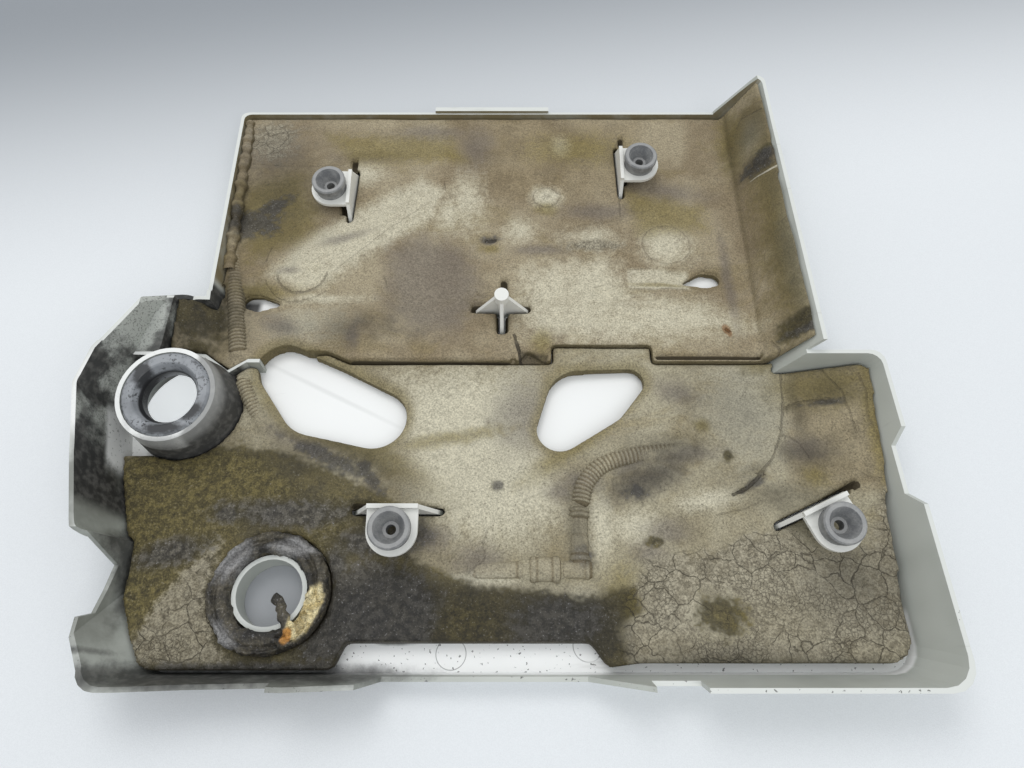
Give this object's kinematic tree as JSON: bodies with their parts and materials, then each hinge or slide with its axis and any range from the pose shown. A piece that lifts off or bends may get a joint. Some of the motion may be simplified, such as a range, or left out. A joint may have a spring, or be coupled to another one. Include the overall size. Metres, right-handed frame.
{
  "type": "engine cover",
  "caption": "Moulded engine cover, hollow side up: a rimmed tray lined with foam pads, with rubber stud sockets on gusseted brackets and a sealed filler opening.",
  "frame": {"origin": "centre of the cover's outline on the ground it lies on, at its outer face", "axes": "+Z out of the hollow side, +Y towards the rear edge, +X to the right seen from the front edge with the hollow side up"},
  "size_m": [0.5726, 0.5115, 0.06],
  "materials": {
    "shell": "pale grey moulded plastic, soiled with oil in the bay and along the front wall",
    "front_foam": "moulded foam with a closed skin, oil stained and crackled",
    "rear_foam": "moulded foam with a closed skin, stained in patches",
    "collar_foam": "soft foam, oil soaked and torn at one side",
    "socket_rubber": "dull dark grey rubber",
    "seal_rubber": "dark blue grey rubber with an oily film"
  },
  "bodies": {
    "root": {"cover_shell": "shell", "front_foam_pad": "front_foam", "rear_foam_pad": "rear_foam", "foam_collar": "collar_foam", "socket_rear_left": "socket_rubber", "socket_rear_right": "socket_rubber", "socket_front_left": "socket_rubber", "socket_front_right": "socket_rubber", "filler_seal_ring": "seal_rubber"}
  },
  "joints": []
}
